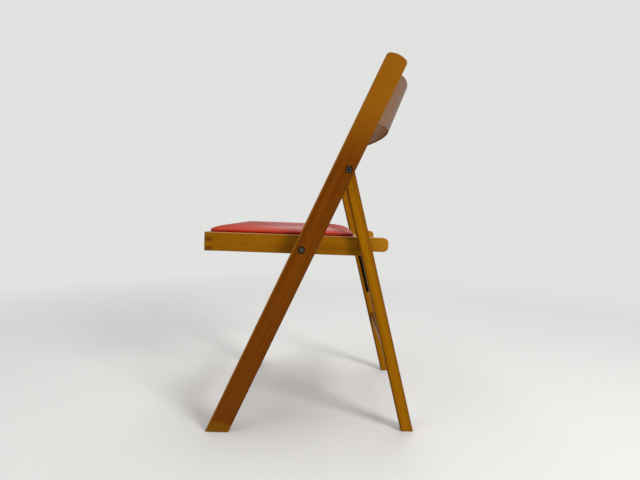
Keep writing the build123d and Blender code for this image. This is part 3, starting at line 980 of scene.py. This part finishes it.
    def swell(self, piece: bpy.types.Object) -> None:
        """Blow the pad up as stretched cloth over foam, and keep what swells outwards within a cap.

        Args:
            piece: The remeshed pad, in its own frame.
        """
        start = read_points(piece.data)
        outward = read_points(piece.data, "normal")
        group_points(piece, "held", start[:, 2] < self.base_gap + self.held_height)
        select_only(piece)
        bpy.ops.object.modifier_add(type="CLOTH")
        cloth = piece.modifiers[-1]
        cloth.settings.use_pressure = True
        cloth.settings.uniform_pressure_force = self.pressure
        cloth.settings.vertex_group_mass = "held"
        cloth.settings.effector_weights.gravity = 0.0
        scene = bpy.context.scene
        for number in range(1, self.frames + 1):
            scene.frame_set(number)
        shown = piece.evaluated_get(bpy.context.evaluated_depsgraph_get())
        moved = read_points(shown.data) - start
        piece.modifiers.remove(cloth)
        scene.frame_set(1)
        lift = (moved * outward).sum(axis=1, keepdims=True)
        moved += outward * np.maximum(-lift, 0)
        reach = np.linalg.norm(moved, axis=1, keepdims=True)
        kept = np.minimum(1.0, self.swell_cap / np.maximum(reach, TINY))
        put_points(piece.data, start + moved * kept)
        piece.vertex_groups.clear()

    def even_top(self, piece: bpy.types.Object) -> None:
        """Even out the pad's top, and leave its rolled edge as it is.

        Args:
            piece: The swollen pad, in its own frame.
        """
        group_points(piece, "top", read_points(piece.data)[:, 2] > self.top_share * self.roll_height)
        select_only(piece)
        bpy.ops.object.modifier_add(type="SMOOTH")
        evening = piece.modifiers[-1]
        evening.vertex_group = "top"
        evening.factor, evening.iterations = self.even_factor, self.even_rounds
        bpy.ops.object.modifier_apply(modifier=evening.name)
        piece.vertex_groups.clear()

    def settle(self, points: np.ndarray) -> np.ndarray:
        """Bring the swollen pad to its crown height and add gathers at its corners.

        Args:
            points: The pad's points, in its own frame.

        Returns:
            The points as they end up.
        """
        above = points[:, 2] - self.base_gap
        points[:, 2] = self.base_gap + above * (self.crown - self.base_gap) / above.max()
        for axis, size in ((0, self.width), (1, self.length)):
            points[:, axis] *= size / 2 / np.abs(points[:, axis]).max()
        corner = np.array([self.width / 2 - self.corner_round, self.length / 2 - self.corner_round])
        off = np.abs(points[:, :2]) - corner
        angle = np.arctan2(off[:, 1], off[:, 0])
        inner = np.minimum(off[:, 0], off[:, 1])
        round_share = np.clip(inner / (self.gather_width * self.corner_round), 0, 1)
        low_share = np.clip(1 - (points[:, 2] - self.base_gap) / (self.gather_rise * self.crown), 0, 1)
        gather = self.gather_depth * np.cos(angle * self.gather_waves) * round_share * low_share
        out = np.linalg.norm(off, axis=1, keepdims=True)
        outward = np.sign(points[:, :2]) * off / np.maximum(out, TINY)
        points[:, :2] += outward * gather[:, None]
        return points

    def mark_base(self, piece: bpy.types.Object) -> None:
        """Store how near each point is to the line where the cover meets the wood, for the painted shade
        along it.

        Args:
            piece: The piece, in the pad's own frame.
        """
        height = read_points(piece.data)[:, 2] - self.base_gap
        share = np.clip(1 - height / self.base_shade, 0, 1)
        stored = piece.data.attributes.new("painted_base_shade", "FLOAT", "POINT")
        stored.data.foreach_set("value", share.astype(np.float32))

    def finish_piece(self, piece: bpy.types.Object) -> None:
        """Mark a piece's base line, put it in its place on the seat, smooth it and dress it.

        Args:
            piece: The piece, in the pad's own frame.
        """
        self.mark_base(piece)
        piece.data.transform(self.seat_place())
        select_only(piece)
        bpy.ops.object.shade_smooth_by_angle(angle=self.smooth_angle)
        piece.data.materials.clear()
        piece.data.materials.append(self.finish)
        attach(piece, "seat")
        log.info("made %s with %d faces", piece.name, len(piece.data.polygons))

    def cushion(self) -> None:
        """Make the pad itself."""
        piece = self.crowned()
        select_only(piece)
        piece.data.remesh_voxel_size = self.voxel
        bpy.ops.object.voxel_remesh()
        self.swell(piece)
        self.even_top(piece)
        bpy.ops.object.modifier_add(type="SUBSURF")
        rounding = piece.modifiers[-1]
        rounding.levels = rounding.render_levels = 1
        bpy.ops.object.modifier_apply(modifier=rounding.name)
        put_points(piece.data, self.settle(read_points(piece.data)))
        self.finish_piece(piece)
        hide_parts("seat_cover", "seat_foam")

    def turned_margin(self) -> None:
        """Make the cover's margin under the board, a flat ring with an uneven cut edge."""
        piece = self.blank("seat_cover_margin", 0.0, self.margin_thickness)
        bpy.ops.object.mode_set(mode="EDIT")
        pick(piece, "FACE", lambda face: abs(face.normal.z) > LEVEL)
        bpy.ops.mesh.inset(thickness=self.margin)
        bpy.ops.mesh.bridge_edge_loops()
        bpy.ops.mesh.select_all(action="SELECT")
        bpy.ops.mesh.subdivide(number_cuts=self.margin_cuts)
        bpy.ops.object.mode_set(mode="OBJECT")
        points = read_points(piece.data)
        points[:, 2] -= self.base_gap - self.margin_base
        half = np.array([self.width / 2, self.length / 2])
        room = (half - np.abs(points[:, :2])).min(axis=1)
        inner = np.clip(room / self.margin, 0, 1)[:, None] ** 2
        across, along = (points[:, axis] * self.wave_scale[axis] for axis in (0, 1))
        wave = self.wave_depth * (np.sin(across) + np.sin(along + self.wave_shift))[:, None]
        points[:, :2] -= np.sign(points[:, :2]) * wave * inner
        put_points(piece.data, points)
        self.finish_piece(piece)

    def build(self) -> None:
        """Make the pad and its margin."""
        self.cushion()
        self.turned_margin()


@dataclass(frozen=True)
class Lamp:
    """A square soft light.

    Attributes:
        name: Its name.
        place: Where it hangs.
        size: Length of its sides.
        power: Its power in watts.
    """

    name: str
    place: Triple
    size: float
    power: float

    def hang(self, target: Triple) -> None:
        """Hang the light.

        Args:
            target: What it points at.
        """
        data = bpy.data.lights.new(self.name, "AREA")
        data.shape, data.size, data.energy = "SQUARE", self.size, self.power
        lamp = bpy.data.objects.new(self.name, data)
        bpy.context.scene.collection.objects.link(lamp)
        aim = (Vector(target) - Vector(self.place)).to_track_quat("-Z", "Y")
        lamp.matrix_world = Matrix.Translation(self.place) @ aim.to_matrix().to_4x4()
        log.info("hung %s light", self.name)


@dataclass
class Studio:
    """Pale floor, soft lights and the camera.

    Attributes:
        target: What the lights point at.
        floor_fade: Distances between which the floor turns into the wall behind.
        room_light: Strength of the even light.
        mirror_window: Directions along X between which the mirrored room goes from bright to dim.
        mirror_light: Strength of the mirrored room on its bright and on its dim side.
    """

    camera_place: Triple = (1.1619, 0.0393, 0.4671)
    yaw: float = math.radians(1.01)
    pitch: float = math.radians(3.71)
    roll: float = math.radians(-0.86)
    lens: float = 26.15
    sensor: float = 36.0
    clip: Window = (0.01, 100.0)
    target: Triple = (0.0, 0.0, 0.4)
    lamps: tuple[Lamp, ...] = (
        Lamp("key", (2.1, 2.0, 1.7), 0.9, 66.0), Lamp("fill", (1.7, -2.1, 2.2), 1.8, 16.0),
        Lamp("back", (-2.2, 0.4, 2.2), 1.8, 18.0), Lamp("top", (-0.2, 0.0, 2.4), 1.2, 14.0))
    floor_size: float = 30.0
    floor_fade: Window = (0.7, 2.4)
    floor_colour: Colour = (0.74, 0.735, 0.72)
    backdrop_colour: Colour = (0.76, 0.76, 0.75)
    room_light: float = 0.42
    mirror_window: Window = (-0.35, 0.85)
    mirror_light: Window = (0.34, 0.1)

    def camera(self) -> None:
        """Stand the camera where the chair was seen from."""
        data = bpy.data.cameras.new("camera")
        data.lens, data.sensor_width = self.lens, self.sensor
        data.clip_start, data.clip_end = self.clip
        place = bpy.data.objects.new("camera", data)
        bpy.context.scene.collection.objects.link(place)
        forward = Vector((-1.0, 0.0, 0.0))
        right = Vector((0.0, math.cos(self.roll), -math.sin(self.roll)))
        up = Vector((0.0, math.sin(self.roll), math.cos(self.roll)))
        tilt = Matrix(((math.cos(self.pitch), 0.0, -math.sin(self.pitch)), (0.0, 1.0, 0.0),
                       (math.sin(self.pitch), 0.0, math.cos(self.pitch))))
        turn = Matrix.Rotation(self.yaw, 3, "Z") @ tilt
        axes = Matrix((turn @ right, turn @ up, -(turn @ forward))).transposed()
        place.matrix_world = Matrix.Translation(self.camera_place) @ axes.to_4x4()
        bpy.context.scene.camera = place

    def floor(self) -> None:
        """Lay the floor."""
        bpy.ops.object.select_all(action="DESELECT")
        bpy.ops.mesh.primitive_plane_add(size=self.floor_size, location=(0.0, 0.0, 0.0))
        piece = bpy.context.object
        piece.name = "floor"
        board = ShaderBoard("pale_floor")
        board.plain(Base_Color=(*self.floor_colour, 1.0), Roughness=0.8, Specular_IOR_Level=0.1)
        away = board.add("ShaderNodeVectorMath", operation="LENGTH")
        board.link(board.place, away.inputs[0])
        far = board.band(away.outputs["Value"], *self.floor_fade)
        path = board.add("ShaderNodeLightPath")
        far = board.math("MULTIPLY", far, path.outputs["Is Camera Ray"])
        wall = board.add("ShaderNodeEmission")
        wall.inputs["Color"].default_value = (*self.backdrop_colour, 1.0)
        either = board.add("ShaderNodeMixShader")
        board.link(far, either.inputs["Fac"])
        board.link(board.shader.outputs[0], either.inputs[1])
        board.link(wall.outputs[0], either.inputs[2])
        board.link(either.outputs[0], board.tree.nodes["Material Output"].inputs["Surface"])
        piece.data.materials.append(board.material)

    def world(self) -> None:
        """Light the room evenly, and show a pale wall behind."""
        world = bpy.data.worlds.new("room")
        bpy.context.scene.world = world
        world.use_nodes = True
        tree = world.node_tree
        even = tree.nodes["Background"]
        even.inputs["Color"].default_value = (1.0, 1.0, 1.0, 1.0)
        even.inputs["Strength"].default_value = self.room_light
        mirrored, wall = (tree.nodes.new("ShaderNodeBackground") for _ in range(2))
        for shader in (mirrored, wall):
            shader.inputs["Color"].default_value = (*self.backdrop_colour, 1.0)
        around = tree.nodes.new("ShaderNodeTexCoord")
        parts = tree.nodes.new("ShaderNodeSeparateXYZ")
        tree.links.new(around.outputs["Generated"], parts.inputs[0])
        dimmer = tree.nodes.new("ShaderNodeMapRange")
        dimmer.interpolation_type = "SMOOTHSTEP"
        for key, number in zip(("From Min", "From Max", "To Min", "To Max"),
                               (*self.mirror_window, *self.mirror_light)):
            dimmer.inputs[key].default_value = number
        tree.links.new(parts.outputs["X"], dimmer.inputs["Value"])
        tree.links.new(dimmer.outputs["Result"], mirrored.inputs["Strength"])
        path = tree.nodes.new("ShaderNodeLightPath")
        last = even.outputs[0]
        for ray, shader in (("Is Glossy Ray", mirrored), ("Is Camera Ray", wall)):
            either = tree.nodes.new("ShaderNodeMixShader")
            tree.links.new(path.outputs[ray], either.inputs["Fac"])
            tree.links.new(last, either.inputs[1])
            tree.links.new(shader.outputs[0], either.inputs[2])
            last = either.outputs[0]
        tree.links.new(last, tree.nodes["World Output"].inputs["Surface"])

    def build(self) -> None:
        """Set the stage."""
        bpy.context.scene.view_settings.view_transform = "Standard"
        self.floor()
        self.world()
        for lamp in self.lamps:
            lamp.hang(self.target)
        self.camera()


def main() -> None:
    """Dress the chair, make its pad and set the stage."""
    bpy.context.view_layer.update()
    seat_joint = next(joint for joint in frame["joints"] if joint["name"] == "seat_fold")
    MainFrame().build()
    RearLegFrame().build()
    SeatFrame().build()
    SeatPad(pivot=Vector(seat_joint["pos_m"])).build()
    Studio().build()


if __name__ == "__main__":
    main()
